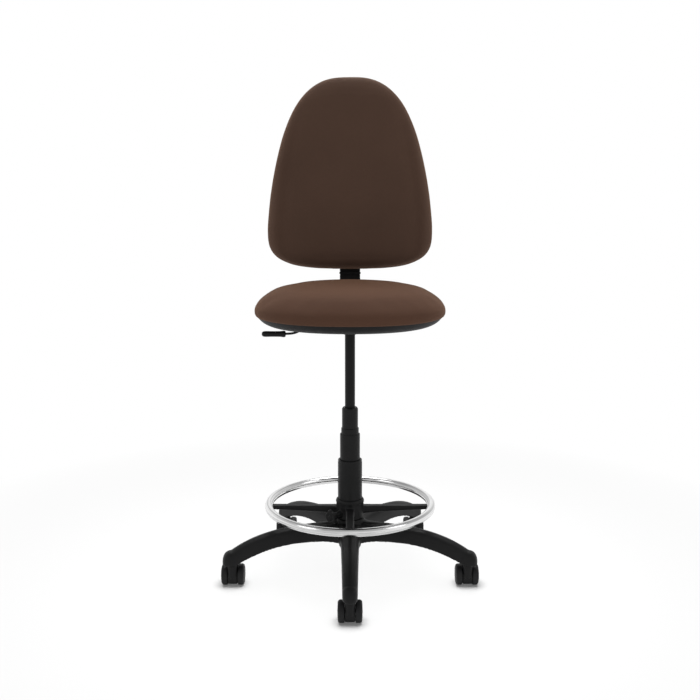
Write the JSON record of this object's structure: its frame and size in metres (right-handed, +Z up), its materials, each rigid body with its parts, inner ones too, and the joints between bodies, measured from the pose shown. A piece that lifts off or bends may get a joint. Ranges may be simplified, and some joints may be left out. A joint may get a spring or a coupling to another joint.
{
  "type": "adjustable swivel stool",
  "caption": "Tall swivel stool with padded seat and back, stepped gas-lift column, round foot ring and a star base on casters.",
  "frame": {"origin": "on the floor, on the column's axis", "axes": "+Z up along the column; the sitter faces -Y and +X is to the sitter's left"},
  "size_m": [0.6382, 0.6156, 1.2613],
  "materials": {
    "base_nylon": "fine-textured black nylon, slightly worn on the crowns",
    "caster_nylon": "satin black moulded nylon",
    "wheel_nylon": "hard black nylon wheel, tread scuffed",
    "black_steel": "black powder-coated steel, satin",
    "black_acetal": "smooth black acetal",
    "pad_acetal": "off-white acetal",
    "bearing_steel": "ground steel",
    "zinc_steel": "zinc-plated steel",
    "lever_steel": "black coated steel rod",
    "rubber": "soft black rubber",
    "chrome": "polished chrome plating",
    "knob_plastic": "black plastic grip, lightly textured",
    "shell_plastic": "black polypropylene with a fine leather-like texture",
    "plywood": "beech plywood",
    "seat_fabric": "brown woven upholstery, worn lighter on top",
    "back_fabric": "dark brown woven upholstery"
  },
  "bodies": {
    "root": {"star_base": "base_nylon", "stem_sockets": "zinc_steel", "column_pipe": "black_steel", "ring_sleeve": "black_steel", "guide_bush": "black_acetal", "thrust_bearing": "bearing_steel", "lift_buffer": "rubber"},
    "foot_ring_assembly": {"foot_ring": "chrome", "ring_spider": "base_nylon"},
    "clamp_pad": {"ring_clamp_pad": "pad_acetal"},
    "clamp_knob": {"ring_knob": "knob_plastic", "ring_clamp_screw": "zinc_steel"},
    "spindle": {"piston_rod": "bearing_steel", "piston": "bearing_steel", "rod_clip": "zinc_steel"},
    "seat": {"gas_cylinder": "black_steel", "mechanism": "black_steel", "lever_pin": "zinc_steel", "seat_pan": "shell_plastic", "seat_board": "plywood", "seat_cushion": "seat_fabric", "seat_screws": "zinc_steel", "back_pivot_pin": "zinc_steel"},
    "lever": {"lever_rod": "lever_steel", "lever_handle": "knob_plastic"},
    "pin": {"release_pin": "zinc_steel"},
    "tilt_knob": {"angle_knob": "knob_plastic"},
    "back_arm": {"back_bar": "black_steel", "bar_cover": "shell_plastic"},
    "back": {"back_carrier": "black_steel", "back_shell": "shell_plastic", "back_board": "plywood", "back_cushion": "back_fabric", "back_screws": "zinc_steel"},
    "height_knob": {"back_knob": "knob_plastic"},
    "caster_front": {"caster_stem_front": "zinc_steel", "caster_hood_front": "caster_nylon"},
    "wheels_front": {"caster_axle_front": "zinc_steel", "caster_wheel_left_front": "wheel_nylon", "caster_wheel_right_front": "wheel_nylon"},
    "caster_front_right": {"caster_stem_front_right": "zinc_steel", "caster_hood_front_right": "caster_nylon"},
    "wheels_front_right": {"caster_axle_front_right": "zinc_steel", "caster_wheel_left_front_right": "wheel_nylon", "caster_wheel_right_front_right": "wheel_nylon"},
    "caster_rear_right": {"caster_stem_rear_right": "zinc_steel", "caster_hood_rear_right": "caster_nylon"},
    "wheels_rear_right": {"caster_axle_rear_right": "zinc_steel", "caster_wheel_left_rear_right": "wheel_nylon", "caster_wheel_right_rear_right": "wheel_nylon"},
    "caster_rear_left": {"caster_stem_rear_left": "zinc_steel", "caster_hood_rear_left": "caster_nylon"},
    "wheels_rear_left": {"caster_axle_rear_left": "zinc_steel", "caster_wheel_left_rear_left": "wheel_nylon", "caster_wheel_right_rear_left": "wheel_nylon"},
    "caster_front_left": {"caster_stem_front_left": "zinc_steel", "caster_hood_front_left": "caster_nylon"},
    "wheels_front_left": {"caster_axle_front_left": "zinc_steel", "caster_wheel_left_front_left": "wheel_nylon", "caster_wheel_right_front_left": "wheel_nylon"}
  },
  "joints": [
    {"name": "caster_swivel_front", "type": "hinge", "parent": "root", "child": "caster_front", "pos_m": [0, -0.305, 0.07], "axis": [0, 0, 1], "continuous": true},
    {"name": "wheel_roll_front", "type": "hinge", "parent": "caster_front", "child": "wheels_front", "pos_m": [0, -0.287, 0.026], "axis": [1, 0, 0], "continuous": true},
    {"name": "caster_swivel_front_right", "type": "hinge", "parent": "root", "child": "caster_front_right", "pos_m": [0.29007, -0.09425, 0.07], "axis": [0, 0, 1], "continuous": true},
    {"name": "wheel_roll_front_right", "type": "hinge", "parent": "caster_front_right", "child": "wheels_front_right", "pos_m": [0.29007, -0.07625, 0.026], "axis": [1, 0, 0], "continuous": true},
    {"name": "caster_swivel_rear_right", "type": "hinge", "parent": "root", "child": "caster_rear_right", "pos_m": [0.17927, 0.24675, 0.07], "axis": [0, 0, 1], "continuous": true},
    {"name": "wheel_roll_rear_right", "type": "hinge", "parent": "caster_rear_right", "child": "wheels_rear_right", "pos_m": [0.17927, 0.26475, 0.026], "axis": [1, 0, 0], "continuous": true},
    {"name": "caster_swivel_rear_left", "type": "hinge", "parent": "root", "child": "caster_rear_left", "pos_m": [-0.17927, 0.24675, 0.07], "axis": [0, 0, 1], "continuous": true},
    {"name": "wheel_roll_rear_left", "type": "hinge", "parent": "caster_rear_left", "child": "wheels_rear_left", "pos_m": [-0.17927, 0.26475, 0.026], "axis": [1, 0, 0], "continuous": true},
    {"name": "caster_swivel_front_left", "type": "hinge", "parent": "root", "child": "caster_front_left", "pos_m": [-0.29007, -0.09425, 0.07], "axis": [0, 0, 1], "continuous": true},
    {"name": "wheel_roll_front_left", "type": "hinge", "parent": "caster_front_left", "child": "wheels_front_left", "pos_m": [-0.29007, -0.07625, 0.026], "axis": [1, 0, 0], "continuous": true},
    {"name": "seat_swivel", "type": "hinge", "parent": "root", "child": "spindle", "pos_m": [0, 0, 0.07], "axis": [0, 0, 1], "continuous": true},
    {"name": "seat_height", "type": "slide", "parent": "spindle", "child": "seat", "axis": [0, 0, 1], "range_m": [-0.17, 0]},
    {"name": "ring_height", "type": "slide", "parent": "root", "child": "foot_ring_assembly", "axis": [0, 0, 1], "range_m": [0, 0.095]},
    {"name": "clamp_pad_travel", "type": "slide", "parent": "foot_ring_assembly", "child": "clamp_pad", "axis": [-0.7071, -0.7071, 0], "range_m": [0, 0.00125]},
    {"name": "clamp_knob_turn", "type": "hinge", "parent": "clamp_pad", "child": "clamp_knob", "pos_m": [-0.04419, -0.04419, 0.163], "axis": [-0.7071, -0.7071, 0], "range_deg": [0, 360]},
    {"name": "lever_lift", "type": "hinge", "parent": "seat", "child": "lever", "pos_m": [-0.022, 0, 0.6485], "axis": [0, 1, 0], "range_deg": [0, 5]},
    {"name": "pin_press", "type": "slide", "parent": "seat", "child": "pin", "axis": [0, 0, -1], "range_m": [0, 0.0023]},
    {"name": "back_tilt", "type": "hinge", "parent": "seat", "child": "back_arm", "pos_m": [0, 0.098, 0.637], "axis": [-1, 0, 0], "range_deg": [-3, 12]},
    {"name": "tilt_knob_turn", "type": "hinge", "parent": "seat", "child": "tilt_knob", "pos_m": [0.045, 0.098, 0.637], "axis": [1, 0, 0], "range_deg": [0, 360]},
    {"name": "back_height", "type": "slide", "parent": "back_arm", "child": "back", "axis": [0, 0.1045, 0.9945], "range_m": [0, 0.07]},
    {"name": "height_knob_turn", "type": "hinge", "parent": "back", "child": "height_knob", "pos_m": [0, 0.28136, 0.85784], "axis": [0, 0.9945, -0.1045], "range_deg": [0, 360]}
  ],
  "couplings": [
    {"joint": "clamp_pad_travel", "follows": "clamp_knob_turn", "m_per_rad": 0.000198},
    {"joint": "pin_press", "follows": "lever_lift", "m_per_rad": 0.026}
  ]
}
